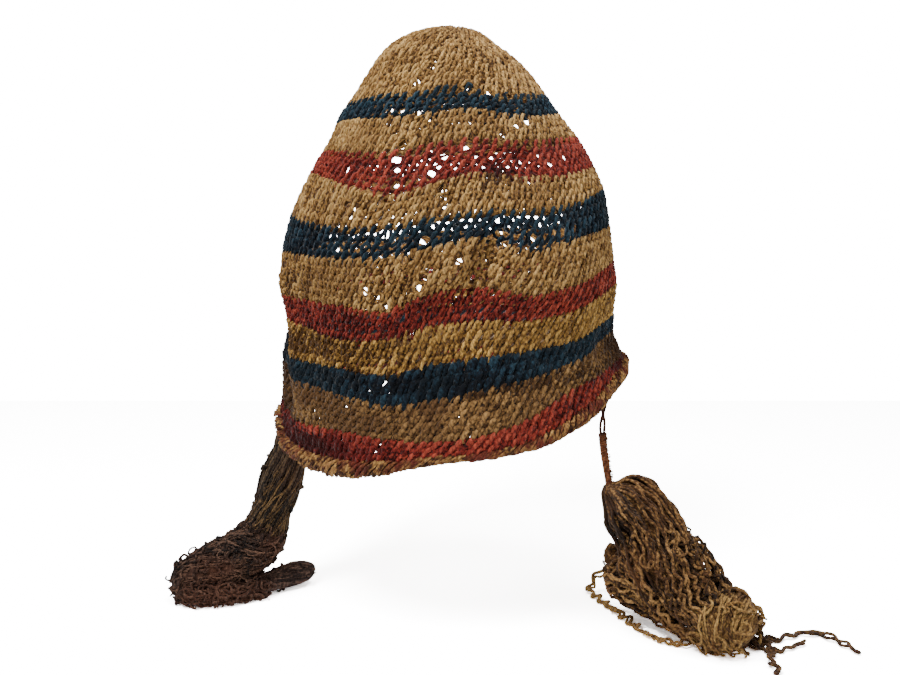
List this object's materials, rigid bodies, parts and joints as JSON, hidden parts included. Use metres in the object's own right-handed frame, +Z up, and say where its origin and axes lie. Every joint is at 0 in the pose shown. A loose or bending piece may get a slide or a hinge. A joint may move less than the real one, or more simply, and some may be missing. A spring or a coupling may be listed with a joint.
{
  "type": "tubular knitted cap with tassels",
  "caption": "Tall sugar-loaf cap of striped looped knitting, open below, with a rolled hem and a yarn tassel hanging from each side.",
  "frame": {"origin": "the place inside the top of the crown where the head bears, on the cap's upright middle line", "axes": "+Z up out of the crown, -Y the front as the picture shows it, +X to the picture's right"},
  "size_m": [0.361, 0.2016, 0.315],
  "materials": {
    "striped_knit": "matt wool in tan, navy and red stripes",
    "hem_yarn": "matt twisted wool",
    "left_tassel_yarn": "matt felted dark brown wool",
    "tie_cord_yarn": "matt wrapped wool",
    "right_tassel_yarn": "matt crinkled brown wool",
    "right_tassel_end_yarn": "matt felted golden wool"
  },
  "bodies": {
    "root": {"knitted_cap": "striped_knit", "rolled_hem": "hem_yarn", "left_tassel_neck": "left_tassel_yarn", "left_tassel_roll": "left_tassel_yarn", "left_tassel_tuft": "left_tassel_yarn", "right_tie_cord": "tie_cord_yarn", "right_tassel": "right_tassel_yarn", "right_tassel_end": "right_tassel_end_yarn"}
  },
  "joints": []
}
